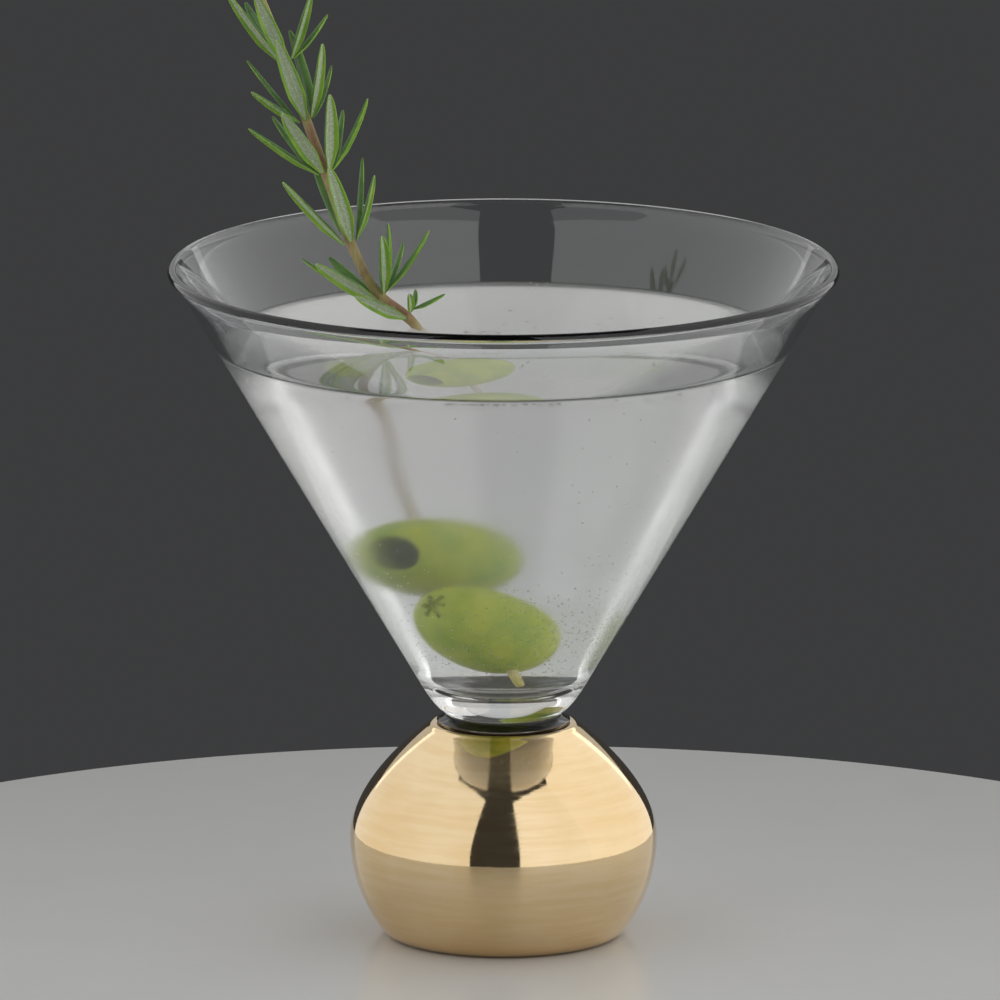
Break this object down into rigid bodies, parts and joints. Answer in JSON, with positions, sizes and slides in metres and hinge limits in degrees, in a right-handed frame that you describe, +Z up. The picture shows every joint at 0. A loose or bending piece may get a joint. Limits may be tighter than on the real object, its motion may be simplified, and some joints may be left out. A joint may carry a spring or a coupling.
{
  "type": "martini glass",
  "caption": "Conical clear martini glass on a gold-plated ball foot, holding a drink and a lift-out skewer of rosemary and olives.",
  "frame": {"origin": "centre of the flat underside of the ball foot, on the table", "axes": "+Z up along the glass's axis of revolution; the sprig leans towards -X and a little towards +Y"},
  "size_m": [0.116, 0.116, 0.1676],
  "materials": {
    "clear_glass": "polished",
    "collar_glass": "polished",
    "gold_plate": "polished",
    "drink": "gloss",
    "olive": "satin",
    "stem": "matte",
    "leaf": "matte"
  },
  "bodies": {
    "glass": {"ball_foot": "gold_plate", "neck_collar": "collar_glass", "bowl": "clear_glass", "drink": "drink"},
    "garnish": {"olive_front": "olive", "olive_rear": "olive", "rosemary_stem": "stem", "leaf_1_1": "leaf", "leaf_1_2": "leaf", "leaf_1_3": "leaf", "leaf_1_4": "leaf", "leaf_2_1": "leaf", "leaf_2_2": "leaf", "leaf_2_3": "leaf", "leaf_2_4": "leaf", "leaf_2_5": "leaf", "leaf_2_6": "leaf", "leaf_2_7": "leaf", "leaf_3_1": "leaf", "leaf_3_2": "leaf", "leaf_3_3": "leaf", "leaf_3_4": "leaf", "leaf_3_5": "leaf", "leaf_4_1": "leaf", "leaf_4_2": "leaf", "leaf_4_3": "leaf", "leaf_4_4": "leaf", "leaf_4_5": "leaf", "leaf_4_6": "leaf", "leaf_5_1": "leaf", "leaf_5_2": "leaf", "leaf_5_3": "leaf", "leaf_5_4": "leaf", "leaf_5_5": "leaf", "leaf_5_6": "leaf", "leaf_6_1": "leaf", "leaf_6_2": "leaf", "leaf_6_3": "leaf", "leaf_6_4": "leaf", "leaf_6_5": "leaf", "leaf_7_1": "leaf", "leaf_7_2": "leaf", "leaf_7_3": "leaf", "leaf_7_4": "leaf"}
  },
  "joints": [
    {"name": "garnish_lift", "type": "slide", "parent": "glass", "child": "garnish", "axis": [0, 0, 1], "range_m": [0, 0.08], "deforming": ["drink"]}
  ]
}
